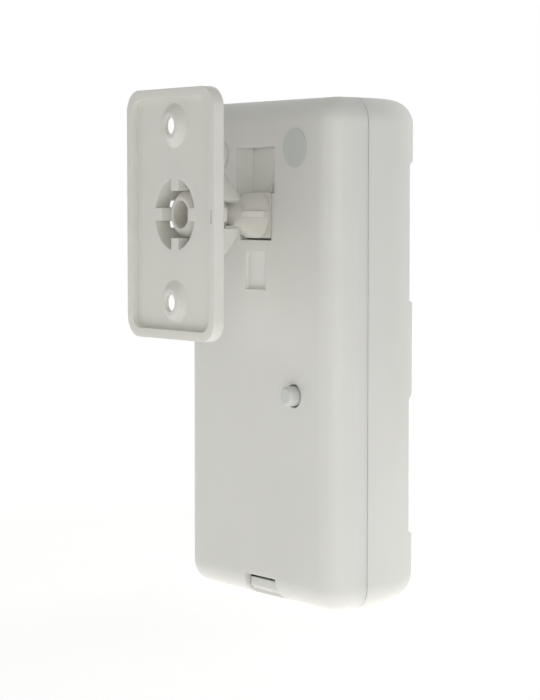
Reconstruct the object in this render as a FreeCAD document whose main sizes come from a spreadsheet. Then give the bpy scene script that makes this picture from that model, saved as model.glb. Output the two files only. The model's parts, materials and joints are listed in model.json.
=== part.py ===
import FreeCAD, Part
import math
import os
import Sketcher

# Pet-immune motion detector on its ball-jointed wall bracket, in millimetres.
# The row frame has its origin on the wall, at the centre of the two screw holes.
# +Z is up, +Y goes into the wall and the detector looks along -Y.
# Pieces of the detector are drawn in the case's own frame, with the back face at y = 0
# and the underside at z = 0, and their placement brings them to the row frame.

SIZES = {
    # Case outline and the two shells
    "case_width": 54.5,
    "case_height": 106.65,
    "straight_depth": 8.0,
    "back_edge_round": 5.5,
    "end_round": 5.2,
    "wall": 2.0,
    "seam_depth": 9.0,
    "seam_gap": 0.12,
    "lip_inset": 1.1,
    "lip_reach": 1.4,
    "lip_clearance": 0.1,
    # Windows in the front: the lower one measured from the underside, the upper one from the top
    "lower_window_low": 14.5,
    "lower_window_high": 43.1,
    "upper_window_low_drop": 42.65,
    "upper_window_high_drop": 13.65,
    "window_setback": 2.1,
    "lower_ramp": 2.6,
    "upper_ramp_low": 1.0,
    "upper_ramp_high": 2.2,
    "setback_side": 5.75,
    "window_side": 9.05,
    "window_rim": 2.2,
    "lens_thickness": 0.8,
    "lens_clearance": 0.15,
    "flange_clearance": 0.05,
    "lens_below_rim": 0.1,
    "flange_reach": 1.4,
    "flange_thickness": 0.7,
    "frame_thickness": 1.2,
    "frame_bar": 2.6,
    "frame_end_bar": 1.9,
    "frame_gap": 0.1,
    # Bracket socket in the back of the case
    "slot_drop": 10.0,
    "entry_height": 9.75,
    "slot_run": 9.9,
    "entry_width": 13.8,
    "slot_width": 11.5,
    "slot_lip": 2.2,
    "slot_depth": 4.4,
    "slot_wall": 1.6,
    "snap_rib_width": 0.8,
    "snap_rib_length": 1.8,
    "snap_rib_height": 0.35,
    "snap_rib_gap": 0.1,
    "recess_width": 7.4,
    "recess_height": 8.0,
    "recess_drop": 2.5,
    "recess_depth": 1.0,
    # Marks on the back
    "label_x": -14.2,
    "label_drop": 10.45,
    "label_radius": 4.05,
    "label_thickness": 0.12,
    "knockout_x": 13.6,
    "knockout_drop": 11.35,
    "knockout_radius": 3.7,
    "knockout_groove": 0.35,
    "knockout_depth": 0.2,
    # Latch at the underside
    "latch_width": 10.6,
    "latch_x": -1.3,
    "latch_gap": 0.5,
    "latch_top": 4.0,
    "latch_slit": 1.0,
    "latch_depth": 2.8,
    "latch_inset": 0.6,
    "latch_setback": 1.7,
    "latch_arm_thickness": 1.3,
    "latch_arm_gap": 0.25,
    "latch_channel_gap": 0.08,
    "latch_root": 3.0,
    # Circuit board and what carries it
    "board_back": 7.0,
    "board_thickness": 1.6,
    "board_width": 46.0,
    "board_end_gap": 5.0,
    "boss_radius": 2.6,
    "boss_x": 19.4,
    "boss_end_gap": 9.0,
    "pilot_radius": 0.85,
    "screw_radius": 0.85,
    "screw_length": 6.0,
    "screw_head_radius": 2.0,
    "screw_head": 1.3,
    "screw_hole_radius": 1.2,
    "screw_recess_radius": 1.0,
    "screw_recess": 0.6,
    # Infrared sensors, one behind each lens
    "can_radius": 4.1,
    "can_height": 4.2,
    "can_flange_radius": 4.6,
    "can_flange": 0.6,
    "pane_width": 4.0,
    "pane_height": 3.0,
    "pane_thickness": 0.3,
    "lead_radius": 0.23,
    "lead_circle": 2.5,
    "lead_length": 2.6,
    "lead_hole_gap": 0.03,
    # Battery across the middle
    "cell_radius": 8.4,
    "cell_length": 33.4,
    "cell_nub_radius": 3.2,
    "cell_nub": 1.1,
    "cell_gap": 0.2,
    "holder_wall": 1.4,
    "holder_floor": 0.8,
    "holder_lip": 1.0,
    "contact_thickness": 0.5,
    "contact_width": 9.0,
    "spring_wire": 0.7,
    "spring_radius": 3.4,
    "spring_taper": 0.23,
    "spring_start": 0.28,
    "spring_length": 2.6,
    # Tamper button at the back
    "tamper_x": -13.7,
    "tamper_z": 44.6,
    "tamper_hole_radius": 2.5,
    "button_radius": 2.1,
    "button_reach": 2.15,
    "button_chamfer": 0.5,
    "collar_radius": 3.3,
    "collar_thickness": 0.8,
    "collar_gap": 0.15,
    "tail_radius": 1.3,
    "tail_end": 5.3,
    "switch_width": 6.0,
    "switch_height": 2.2,
    "switch_bore_radius": 1.45,
    "switch_floor": 0.1,
    # Status light
    "light_x": 0.0,
    "light_drop": 7.05,
    "led_radius": 1.5,
    "led_height": 3.6,
    "led_flange_radius": 1.9,
    "led_flange": 0.8,
    "pipe_radius": 1.5,
    "pipe_head_radius": 2.3,
    "pipe_head": 1.0,
    "pipe_gap": 0.3,
    "pipe_hole_gap": 0.1,
    # Other parts on the board
    "part_gap": 1.9,
    "main_chip_width": 10.0,
    "main_chip_height": 4.0,
    "main_chip_thickness": 1.5,
    "main_chip_x": 11.5,
    "radio_chip_width": 5.0,
    "radio_chip_height": 4.0,
    "radio_chip_x": 13.0,
    "radio_drop": 12.0,
    "pin_width": 0.4,
    "pin_reach": 1.0,
    "pin_pitch": 1.27,
    "resonator_radius": 4.5,
    "resonator_height": 3.2,
    "resonator_x": -13.5,
    "crystal_width": 10.2,
    "crystal_depth": 4.4,
    "crystal_height": 3.4,
    "crystal_x": -13.0,
    "capacitor_radius": 2.5,
    "capacitor_height": 6.5,
    "capacitor_x": 13.0,
    "capacitor_low": 15.0,
    "capacitor_pitch": 7.0,
    "header_width": 7.62,
    "header_height": 2.5,
    "header_depth": 2.5,
    "header_x": -14.0,
    "header_z": 17.0,
    "header_pitch": 2.54,
    "header_pin": 0.64,
    "header_pin_length": 6.0,
    "jumper_width": 4.9,
    "jumper_gap": 0.02,
    "aerial_radius": 0.5,
    "aerial_bend": 2.2,
    "aerial_height": 4.5,
    "aerial_gap": 0.4,
    "aerial_low": 20.0,
    "aerial_drop": 18.0,
    # Wall plate
    "plate_width": 32.6,
    "plate_height": 51.85,
    "plate_thickness": 2.8,
    "plate_corner": 4.5,
    "plate_edge_round": 0.6,
    "plate_rim": 2.0,
    "tray_depth": 1.3,
    "tray_corner": 2.8,
    "screw_spacing": 36.6,
    "wall_screw_radius": 1.9,
    "countersink_radius": 4.6,
    "countersink_depth": 1.8,
    "screw_pad_radius": 4.6,
    "screw_pad_top_radius": 2.75,
    "rim_mark_inset": 1.1,
    "rim_mark_width": 0.6,
    "rim_mark_low": -1.7,
    "rim_mark_high": 1.0,
    "rim_mark_depth": 0.4,
    "mouth_radius": 7.45,
    "finger_width": 2.7,
    "finger_reach": 4.9,
    "finger_thickness": 2.6,
    "finger_root": 8.4,
    # Ball socket on the plate and the arm in it
    "standoff": 21.86,
    "axis_rise": 0.25,
    "pivot_depth": 7.5,
    "dome_centre": 3.9,
    "dome_radius": 11.8,
    "ball_radius": 5.95,
    "ball_clearance": 0.08,
    "ball_flat": 4.72,
    "ball_bore_radius": 2.9,
    "ball_bore_depth": 8.4,
    "seat_depth": 0.8,
    "neck_radius": 2.5,
    "neck_clearance": 0.35,
    "neck_slot_start": 2.7,
    "tongue_width": 2.9,
    "tongue_slit": 1.4,
    "tongue_root": 2.1,
    "head_width": 11.36,
    "head_height": 9.6,
    "head_chamfer_across": 2.5,
    "head_chamfer_up": 1.3,
    "head_corner": 0.4,
    "head_proud": 0.3,
    "head_low_gap": 0.45,
    "head_flange_width": 13.4,
    "head_flange_height": 9.3,
    "head_flange_gap": 0.1,
    "head_back_gap": 0.42,
    "flare_radius": 5.4,
    "flare_length": 4.3,
    "gusset_thickness": 1.4,
    "gusset_length": 4.9,
    "gusset_end": 1.4,
    # How far one turn of the spring reaches into the next
    "join": 0.05,
}

# Places that follow from the sizes above, worked out in the same sheet
DERIVED = {
    "window_half_width": "case_width / 2 - window_side",
    "setback_fade_width": "case_width / 2 - setback_side",
    "upper_window_low": "case_height - upper_window_low_drop",
    "upper_window_high": "case_height - upper_window_high_drop",
    "setback_fade_depth": "straight_depth + sqrt((case_width / 2) ^ 2 - setback_fade_width ^ 2)",
    "slot_high": "case_height - slot_drop",
    "slot_entry": "slot_high - entry_height",
    "slot_low": "slot_entry - slot_run",
    "recess_high": "slot_low - recess_drop",
    "recess_low": "recess_high - recess_height",
    "plate_above_case": "slot_low + head_low_gap + head_height / 2 + axis_rise",
    "label_z": "case_height - label_drop",
    "knockout_z": "case_height - knockout_drop",
    "light_z": "case_height - light_drop",
    "board_low": "board_end_gap",
    "board_high": "case_height - board_end_gap",
    "boss_low": "boss_end_gap",
    "boss_high": "case_height - boss_end_gap",
    "cell_z": "case_height / 2",
    "holder_half": "cell_radius + cell_gap + holder_wall",
    "crystal_z": "cell_z + holder_half + part_gap + crystal_depth / 2",
    "main_chip_z": "cell_z + holder_half + part_gap + pin_reach + main_chip_height / 2",
    "radio_chip_z": "board_high - radio_drop",
    "resonator_z": "board_high - radio_drop",
    "holder_left": "-cell_length / 2 - spring_length - contact_thickness - holder_wall",
    "holder_right": "cell_length / 2 + cell_nub + contact_thickness + holder_wall",
    "aerial_x": "holder_right + aerial_gap + aerial_radius",
    "rim_mark_x": "plate_width / 2 - rim_mark_inset",
}

doc = FreeCAD.newDocument("motion_detector")
TOLERANCE = 1e-6
PARTS_FOLDER = "parts"
X_DIRECTION = FreeCAD.Rotation(FreeCAD.Vector(0, 1, 0), 90)
Y_DIRECTION = FreeCAD.Rotation(FreeCAD.Vector(1, 0, 0), -90)
FRONT_DIRECTION = FreeCAD.Rotation(FreeCAD.Vector(1, 0, 0), 90)
Z_DIRECTION = FreeCAD.Rotation()


def fill_sheet():
    """Put every driving size and every derived place in the sheet, with its name as alias."""
    sheet = doc.addObject("Spreadsheet::Sheet", "sizes")
    typed = [(name, str(value)) for name, value in SIZES.items()]
    derived = [(name, "=" + text) for name, text in DERIVED.items()]
    for row, (name, cell) in enumerate(typed + derived, start=1):
        sheet.set(f"A{row}", name)
        sheet.setAlias(f"B{row}", name)
        sheet.set(f"B{row}", cell)
    doc.recompute()


def measure(name):
    """The number that the sheet holds for a size or a derived place."""
    return float(doc.getObject("sizes").get(name))


def sized(text):
    """Turn the plain names in an expression into references to the sheet."""
    words = []
    word = ""
    for letter in text + " ":
        if letter.isalnum() or letter in "_.":
            word += letter
            continue
        words.append("sizes." + word if word in SIZES or word in DERIVED else word)
        words.append(letter)
        word = ""
    return "".join(words).strip()


def bind(thing, prop, text):
    """Tie one property of an object to an expression of named sizes."""
    thing.setExpression(prop, sized(text))


def place(thing, x, y, z, direction=Z_DIRECTION):
    """Turn a piece and tie its position to expressions."""
    thing.Placement = FreeCAD.Placement(FreeCAD.Vector(), direction)
    bind(thing, "Placement.Base.x", x)
    bind(thing, "Placement.Base.y", y)
    bind(thing, "Placement.Base.z", z)
    return thing


def box(name, x, y, z):
    """A block between pairs of expressions for its low and high sides."""
    block = doc.addObject("Part::Box", name)
    bind(block, "Length", f"({x[1]}) - ({x[0]})")
    bind(block, "Width", f"({y[1]}) - ({y[0]})")
    bind(block, "Height", f"({z[1]}) - ({z[0]})")
    return place(block, x[0], y[0], z[0])


def rod(name, centre, radius, length, direction=Z_DIRECTION):
    """A cylinder from its start point along a direction."""
    cylinder = doc.addObject("Part::Cylinder", name)
    bind(cylinder, "Radius", radius)
    bind(cylinder, "Height", length)
    return place(cylinder, *centre, direction)


def cone(name, centre, radii, length, direction=Z_DIRECTION):
    """A cone from its start point along a direction."""
    frustum = doc.addObject("Part::Cone", name)
    bind(frustum, "Radius1", radii[0])
    bind(frustum, "Radius2", radii[1])
    bind(frustum, "Height", length)
    return place(frustum, *centre, direction)


def ball(name, centre, radius):
    """A sphere about a point."""
    sphere = doc.addObject("Part::Sphere", name)
    bind(sphere, "Radius", radius)
    return place(sphere, *centre)


def torus(name, centre, radii, direction=Z_DIRECTION):
    """A ring of round wire about a point."""
    ring = doc.addObject("Part::Torus", name)
    bind(ring, "Radius1", radii[0])
    bind(ring, "Radius2", radii[1])
    return place(ring, *centre, direction)


def fuse(name, *pieces):
    """One solid from pieces that touch or cross."""
    union = doc.addObject("Part::MultiFuse", name)
    union.Shapes = list(pieces)
    union.Refine = True
    return union


def common(name, first, second):
    """What two solids share."""
    shared = doc.addObject("Part::Common", name)
    shared.Base = first
    shared.Tool = second
    return shared


def cut(name, base, *tools):
    """A solid less one or more tools."""
    tool = tools[0] if len(tools) == 1 else fuse(name + "_tools", *tools)
    rest = doc.addObject("Part::Cut", name)
    rest.Base = base
    rest.Tool = tool
    rest.Refine = True
    return rest


def group(name, *pieces):
    """Identical separate solids kept as one node."""
    compound = doc.addObject("Part::Compound", name)
    compound.Links = list(pieces)
    return compound


def open_body(name):
    """A new body for sketched features."""
    return doc.addObject("PartDesign::Body", name)


def sketch_on(body, role, name, lift=None):
    """A sketch on one of the body's own origin planes, lifted along its normal."""
    plane = next(item for item in body.Origin.OriginFeatures if item.Role == role)
    sketch = body.newObject("Sketcher::SketchObject", name)
    sketch.AttachmentSupport = (plane, [""])
    sketch.MapMode = "FlatFace"
    if lift:
        bind(sketch, "AttachmentOffset.Base.z", lift)
    return sketch


def fix(sketch, geometry, point, across, along):
    """Hold one point of a sketch at expressions across and along it."""
    for kind, text in (("DistanceX", across), ("DistanceY", along)):
        index = sketch.addConstraint(Sketcher.Constraint(kind, -1, 1, geometry, point, 1.0))
        bind(sketch, f"Constraints[{index}]", text)


def polygon(sketch, points):
    """A closed outline of straight lines through points given as expressions."""
    total = len(points)
    turn = FreeCAD.Rotation(FreeCAD.Vector(0, 0, 1), 360 / total)
    corner = FreeCAD.Vector(1, 0, 0)
    for _ in points:
        following = turn.multVec(corner)
        sketch.addGeometry(Part.LineSegment(corner, following), False)
        corner = following
    for index, (across, along) in enumerate(points):
        before = (index - 1) % total
        sketch.addConstraint(Sketcher.Constraint("Coincident", before, 2, index, 1))
        fix(sketch, index, 1, across, along)


def circle(sketch, across, along, radius):
    """A circle with its centre and radius given as expressions."""
    shape = Part.Circle(FreeCAD.Vector(0, 0, 0), FreeCAD.Vector(0, 0, 1), 1)
    index = sketch.addGeometry(shape, False)
    fix(sketch, index, 3, across, along)
    rule = sketch.addConstraint(Sketcher.Constraint("Radius", index, 1.0))
    bind(sketch, f"Constraints[{rule}]", radius)


def pad(body, sketch, length, name, backwards=False):
    """Raise a sketch into a solid."""
    feature = body.newObject("PartDesign::Pad", name)
    feature.Profile = sketch
    bind(feature, "Length", length)
    feature.Reversed = backwards
    doc.recompute()
    return feature


def pocket(body, sketch, length, name, backwards=False):
    """Sink a sketch into a solid and make sure that it took something away."""
    before = body.Shape.Volume
    feature = body.newObject("PartDesign::Pocket", name)
    feature.Profile = sketch
    bind(feature, "Length", length)
    feature.Reversed = backwards
    doc.recompute()
    if not body.Shape.Volume < before:
        raise RuntimeError(f"{name} cuts nothing")
    return feature


def round_edges(body, feature, wanted, radius, name):
    """Round the edges of a feature that a test picks out."""
    doc.recompute()
    picked = [f"Edge{n}" for n, edge in enumerate(feature.Shape.Edges, start=1) if wanted(edge)]
    rounding = body.newObject("PartDesign::Fillet", name)
    rounding.Base = (feature, picked)
    bind(rounding, "Radius", radius)
    doc.recompute()
    return rounding


def turned(name, outline, centre, direction=Z_DIRECTION):
    """A body turned about its own axis: outline points are (radius, height along the axis)."""
    body = open_body(name)
    sketch = sketch_on(body, "XZ_Plane", name + "_outline")
    polygon(sketch, outline)
    spin = body.newObject("PartDesign::Revolution", name + "_turned")
    spin.Profile = sketch
    spin.ReferenceAxis = (sketch, ["V_Axis"])
    spin.Angle = 360
    return place(body, *centre, direction)


def along_z(edge):
    """Whether an edge runs up the piece."""
    start, end = edge.Vertexes[0].Point, edge.Vertexes[-1].Point
    flat = abs(start.x - end.x) + abs(start.y - end.y)
    return flat < TOLERANCE < abs(start.z - end.z)


def d_outline(sketch, inset):
    """The case's section: flat back, straight sides and a half-round front, drawn inset."""
    half = SIZES["case_width"] / 2
    depth = -SIZES["straight_depth"]
    corner = FreeCAD.Vector
    centre = corner(0, depth, 0)
    arc = Part.ArcOfCircle(Part.Circle(centre, corner(0, 0, 1), half), -math.pi, 0)
    sketch.addGeometry(Part.LineSegment(corner(half, depth, 0), corner(half, 0, 0)), False)
    sketch.addGeometry(Part.LineSegment(corner(half, 0, 0), corner(-half, 0, 0)), False)
    sketch.addGeometry(Part.LineSegment(corner(-half, 0, 0), corner(-half, depth, 0)), False)
    sketch.addGeometry(arc, False)
    for first, second in ((0, 1), (1, 2)):
        sketch.addConstraint(Sketcher.Constraint("Coincident", first, 2, second, 1))
    sketch.addConstraint(Sketcher.Constraint("Coincident", 2, 2, 3, 1))
    sketch.addConstraint(Sketcher.Constraint("Coincident", 3, 2, 0, 1))
    fix(sketch, 3, 3, "0", "-straight_depth")
    fix(sketch, 1, 1, f"case_width / 2 - ({inset})", f"-({inset})")
    fix(sketch, 1, 2, f"-case_width / 2 + ({inset})", f"-({inset})")
    for line, end in ((0, 1), (2, 2)):
        level = sketch.addConstraint(Sketcher.Constraint("DistanceY", -1, 1, line, end, depth))
        bind(sketch, f"Constraints[{level}]", "-straight_depth")
    round_front = sketch.addConstraint(Sketcher.Constraint("Radius", 3, half))
    bind(sketch, f"Constraints[{round_front}]", f"case_width / 2 - ({inset})")


def blank(name, inset):
    """The whole case as one rounded solid, its skin moved in by the inset."""
    body = open_body(name)
    sketch = sketch_on(body, "XY_Plane", name + "_section", inset)
    d_outline(sketch, inset)
    solid = pad(body, sketch, f"case_height - 2 * ({inset})", name + "_height")
    nearest = -SIZES["straight_depth"] / 2
    back = round_edges(body, solid, lambda edge: along_z(edge) and edge.CenterOfMass.y > nearest,
                       f"back_edge_round - ({inset})", name + "_back_edges")
    ends = round_edges(body, back, lambda edge: not along_z(edge), f"end_round - ({inset})", name + "_ends")
    body.Tip = ends
    return body


def slab(name, near, far):
    """A block across the whole case between two depths behind its back face."""
    across = ("-case_width", "case_width")
    return box(name, across, (f"-({far})", f"-({near})"), ("-case_width", "case_height + case_width"))


SETBACK_CENTRE = (
    "(((straight_depth + case_width / 2 - window_setback) ^ 2"
    " - setback_fade_width ^ 2 - setback_fade_depth ^ 2)"
    " / (2 * (straight_depth + case_width / 2 - window_setback - setback_fade_depth)))"
)
SETBACK_RADIUS = f"(straight_depth + case_width / 2 - window_setback - {SETBACK_CENTRE})"
CASE_FRONT = "(straight_depth + case_width / 2)"
BOARD_FRONT = "(board_back + board_thickness)"


def window_setback(name, low, high, ramps):
    """The shallow step round one window, which fades out towards the case's sides."""
    front = ("-case_width", "-straight_depth")
    start, end = f"{low} - {ramps[0]}", f"{high} + {ramps[1]}"
    band = box(name + "_band", ("-case_width", "case_width"), front, (start, end))
    at = ("0", f"-{SETBACK_CENTRE}")
    core = rod(name + "_core", (*at, low), SETBACK_RADIUS, f"{high} - {low}")
    wide = f"{SETBACK_RADIUS} + window_setback"
    below = cone(name + "_below", (*at, start), (wide, SETBACK_RADIUS), ramps[0])
    above = cone(name + "_above", (*at, high), (SETBACK_RADIUS, wide), ramps[1])
    return cut(name, band, core, below, above)


def window_backing(name, low, high, ramps):
    """Extra wall inside the front, so that the step leaves the wall its full thickness."""
    start, end = f"{low} - {ramps[0]} - wall / 2", f"{high} + {ramps[1]} + wall / 2"
    band = box(name + "_band", ("-case_width", "case_width"),
               ("-case_width", "-setback_fade_depth + 2 * wall"), (start, end))
    core = rod(name + "_core", ("0", f"-{SETBACK_CENTRE}", f"{start} - wall"), f"{SETBACK_RADIUS} - wall",
               f"{end} - ({start}) + 2 * wall")
    return cut(name, band, core)


def window_opening(name, low, high):
    """The hole of one window, cut straight back as the mould draws."""
    return box(name, ("-window_half_width", "window_half_width"), ("-case_width", "-2 * straight_depth"),
               (f"{low} + window_rim", f"{high} - window_rim"))


def front_skin(name, radius_out, radius_in, half_width, low, high):
    """A curved sheet that follows the step of the windows between two radii."""
    at = ("0", f"-{SETBACK_CENTRE}", low)
    outer = rod(name + "_outer", at, radius_out, f"({high}) - ({low})")
    inner = rod(name + "_inner", at, radius_in, f"({high}) - ({low})")
    sheet = cut(name + "_sheet", outer, inner)
    part = box(name + "_part", (f"-({half_width})", half_width),
               ("-case_width", "-2 * straight_depth"), (low, high))
    return common(name, sheet, part)


def to_row(thing, label):
    """Bring a piece of the detector from the case's frame to the row frame."""
    thing.Label = label
    return place(thing, "0", "-standoff", "-plate_above_case")


def moved(thing, label):
    """Bring a piece that keeps a turn of its own to the row frame through a compound."""
    return to_row(group(label + "_set", thing), label)


def make_rear_case(outer, inner, lip_form):
    """Rear shell with the bracket socket, board bosses, tamper hole and latch notch."""
    solid = common("rear_solid", outer, slab("rear_side", "-case_width", "seam_depth"))
    hollow = common("rear_hollow", inner, slab("rear_room", "0", "seam_depth + wall"))
    rebate = common("rear_rebate", lip_form, slab("rebate_room", "seam_depth - lip_reach - lip_clearance",
                                                  "seam_depth + wall"))
    shell = cut("rear_shell", solid, hollow, rebate)
    half = "entry_width / 2 + slot_wall"
    housing = box("socket_housing", (f"-({half})", half), ("-slot_depth - slot_wall", "-wall / 2"),
                  ("slot_low - slot_wall", "slot_high + slot_wall"))
    bosses = [
        rod(f"boss_{n}", (x, "-wall / 2", z), "boss_radius", "board_back - wall / 2", FRONT_DIRECTION)
        for n, (x, z) in enumerate(BOSSES)
    ]
    body = fuse("rear_body", shell, housing, *bosses)
    pilots = [
        rod(f"pilot_{n}", (x, "-wall", z), "pilot_radius", "board_back", FRONT_DIRECTION)
        for n, (x, z) in enumerate(BOSSES)
    ]
    entry = box("slot_entry_room", ("-entry_width / 2", "entry_width / 2"), ("-slot_depth", "wall"),
                ("slot_entry", "slot_high"))
    seat = box("slot_seat_room", ("-slot_width / 2", "slot_width / 2"), ("-slot_depth", "wall"),
               ("slot_low", "slot_high - slot_wall"))
    under = box("slot_under_room", ("-entry_width / 2", "entry_width / 2"), ("-slot_depth", "-slot_lip"),
                ("slot_low", "slot_high - slot_wall"))
    panel = box("panel_recess", ("-recess_width / 2", "recess_width / 2"), ("-recess_depth", "wall"),
                ("recess_low", "recess_high"))
    button = rod("tamper_hole", ("tamper_x", "wall", "tamper_z"), "tamper_hole_radius", "3 * wall",
                 FRONT_DIRECTION)
    ring = cut("knockout_ring", rod("knockout_out", ("knockout_x", "wall", "knockout_z"), "knockout_radius",
                                    "wall + knockout_depth", FRONT_DIRECTION),
               rod("knockout_in", ("knockout_x", "wall", "knockout_z"), "knockout_radius - knockout_groove",
                   "wall + 2 * knockout_depth", FRONT_DIRECTION))
    latch_room = ("latch_x - latch_width / 2 - latch_gap", "latch_x + latch_width / 2 + latch_gap")
    notch = box("latch_notch", latch_room, ("-latch_depth - latch_gap", "wall"),
                ("-wall", "latch_top + latch_slit"))
    channel = box("latch_channel", latch_room, ("-seam_depth", "-latch_depth"),
                  ("wall + latch_channel_gap", "latch_top + latch_slit"))
    cleared = cut("rear_cleared", body, *pilots, entry, seat, under, panel, button, ring, notch, channel)
    rib_low = "slot_low + head_low_gap + head_height + snap_rib_gap"
    rib = box("snap_rib", ("-snap_rib_width / 2", "snap_rib_width / 2"),
              ("-slot_depth - slot_wall / 2", "-slot_depth + snap_rib_height"),
              (rib_low, f"{rib_low} + snap_rib_length"))
    return to_row(fuse("rear_finished", cleared, rib), "rear_case")


def make_front_cover(outer, inner, lip_form, latch_form):
    """Front shell with two window openings, the light hole, the seam lip and the latch arm."""
    solid = common("front_solid", outer, slab("front_side", "seam_depth + seam_gap", "2 * case_width"))
    room = common("front_room_form", inner, slab("front_room", "seam_depth - wall", "2 * case_width"))
    lower_window = ("lower_window_low", "lower_window_high", ("lower_ramp", "lower_ramp"))
    upper_window = ("upper_window_low", "upper_window_high", ("upper_ramp_low", "upper_ramp_high"))
    hollow = cut("front_hollow", room, window_backing("lower_backing", *lower_window),
                 window_backing("upper_backing", *upper_window))
    shell = cut("front_shell", solid, hollow)
    lip_ring = cut("lip_ring", lip_form, inner)
    lip = common("seam_lip", lip_ring,
                 slab("lip_side", "seam_depth - lip_reach", "seam_depth + seam_gap + wall"))
    arm_low = "wall + latch_arm_gap"
    across = ("latch_x - latch_width / 2", "latch_x + latch_width / 2")
    arm = box("latch_arm", across,
              ("-seam_depth - seam_gap - latch_root", "-latch_depth + wall / 2"),
              (arm_low, f"{arm_low} + latch_arm_thickness"))
    root = box("latch_root_block", across,
               ("-seam_depth - seam_gap - latch_root", "-seam_depth - seam_gap - latch_root / 2"),
               ("wall / 2", f"{arm_low} + latch_arm_thickness"))
    nose_block = box("latch_nose_block", across, ("-latch_depth", "-latch_setback"), ("0", "latch_top"))
    nose = common("latch_nose", nose_block, latch_form)
    body = fuse("front_body", shell, lip, arm, root, nose)
    tools = [
        window_setback("lower_setback", *lower_window),
        window_setback("upper_setback", *upper_window),
        window_opening("lower_opening", "lower_window_low", "lower_window_high"),
        window_opening("upper_opening", "upper_window_low", "upper_window_high"),
        rod("light_hole", ("light_x", f"-{CASE_FRONT} - wall", "light_z"), "pipe_radius + pipe_hole_gap",
            "3 * wall", Y_DIRECTION),
    ]
    return to_row(cut("front_finished", body, *tools), "front_cover")


def make_lens(label, low, high):
    """A clouded window sheet with a thicker edge that sits behind the opening."""
    edge_low = f"{low} + window_rim"
    edge_high = f"{high} - window_rim"
    at = ("0", f"-{SETBACK_CENTRE}")
    face = rod(label + "_face", (*at, f"{edge_low} + lens_clearance"), f"{SETBACK_RADIUS} - lens_below_rim",
               f"{edge_high} - lens_clearance - ({edge_low} + lens_clearance)")
    behind = rod(label + "_behind", (*at, edge_low), f"{SETBACK_RADIUS} - wall - flange_thickness",
                 f"{edge_high} - ({edge_low})")
    plug = cut(label + "_plug", face, behind)
    inside = box(label + "_inside",
                 ("-window_half_width + lens_clearance", "window_half_width - lens_clearance"),
                 ("-case_width", "-2 * straight_depth"), (edge_low, edge_high))
    pane = common(label + "_pane", plug, inside)
    flange = front_skin(label + "_flange", f"{SETBACK_RADIUS} - wall - flange_clearance",
                        f"{SETBACK_RADIUS} - wall - flange_thickness", "window_half_width + flange_reach",
                        f"{edge_low} - flange_reach", f"{edge_high} + flange_reach")
    sheet = fuse(label + "_sheet", pane, flange)
    hollow_rod = rod(label + "_hollow_rod", (*at, f"{edge_low} + lens_thickness"),
                     f"{SETBACK_RADIUS} - lens_below_rim - lens_thickness",
                     f"{edge_high} - {edge_low} - 2 * lens_thickness")
    hollow_box = box(label + "_hollow_box",
                     ("-window_half_width + flange_reach", "window_half_width - flange_reach"),
                     ("-case_width", "-straight_depth"), (edge_low, edge_high))
    return to_row(cut(label + "_form", sheet, common(label + "_hollow", hollow_rod, hollow_box)), label)


def make_lens_frame(label, low, high):
    """The curved frame that holds one lens sheet against the front cover."""
    outside = f"{SETBACK_RADIUS} - wall - flange_thickness - frame_gap"
    skin = front_skin(label + "_skin", outside, f"{outside} - frame_thickness",
                      "window_half_width + flange_reach", f"{low} + window_rim - frame_end_bar",
                      f"{high} - window_rim + frame_end_bar")
    hole = box(label + "_hole", ("-window_half_width + frame_bar", "window_half_width - frame_bar"),
               ("-case_width", "0"), (f"{low} + window_rim", f"{high} - window_rim"))
    return to_row(cut(label + "_form", skin, hole), label)


WINDOWS = [("upper_window_low", "upper_window_high"), ("lower_window_low", "lower_window_high")]
LEADS = [("left", "-lead_circle", "0"), ("right", "lead_circle", "0"), ("top", "0", "lead_circle")]
MAIN_CHIP_PINS = 7
RADIO_CHIP_PINS = 4
BOSSES = [("-boss_x", "boss_low"), ("boss_x", "boss_low"), ("-boss_x", "boss_high"), ("boss_x", "boss_high")]


def make_board():
    """Circuit board on the four bosses."""
    plate = box("board_blank", ("-board_width / 2", "board_width / 2"), (f"-{BOARD_FRONT}", "-board_back"),
                ("board_low", "board_high"))
    holes = [
        rod(f"board_hole_{n}", (x, "0", z), "screw_hole_radius", f"{BOARD_FRONT} + wall", FRONT_DIRECTION)
        for n, (x, z) in enumerate(BOSSES)
    ]
    leads = [
        rod(f"lead_hole_{n}_{name}", (x, "0", f"({low} + {high}) / 2 + {dz}"), "lead_radius + lead_hole_gap",
            f"{BOARD_FRONT} + wall", FRONT_DIRECTION)
        for n, (low, high) in enumerate(WINDOWS)
        for name, x, dz in LEADS
    ]
    return to_row(cut("board_form", plate, *holes, *leads), "circuit_board")


def make_board_screws():
    """Four self-tapping screws that hold the board on its bosses."""
    screws = []
    for n, (x, z) in enumerate(BOSSES):
        shank = rod(f"screw_shank_{n}", (x, f"-{BOARD_FRONT} - screw_head / 2", z), "screw_radius",
                    "screw_length + screw_head / 2", Y_DIRECTION)
        head = rod(f"screw_head_{n}", (x, f"-{BOARD_FRONT}", z), "screw_head_radius", "screw_head",
                   FRONT_DIRECTION)
        recess = rod(f"screw_recess_{n}", (x, f"-{BOARD_FRONT} - screw_head", z), "screw_recess_radius",
                     "screw_recess", Y_DIRECTION)
        screws.append(cut(f"screw_{n}", fuse(f"screw_blank_{n}", shank, head), recess))
    return to_row(group("screw_set", *screws), "board_screws")


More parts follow.
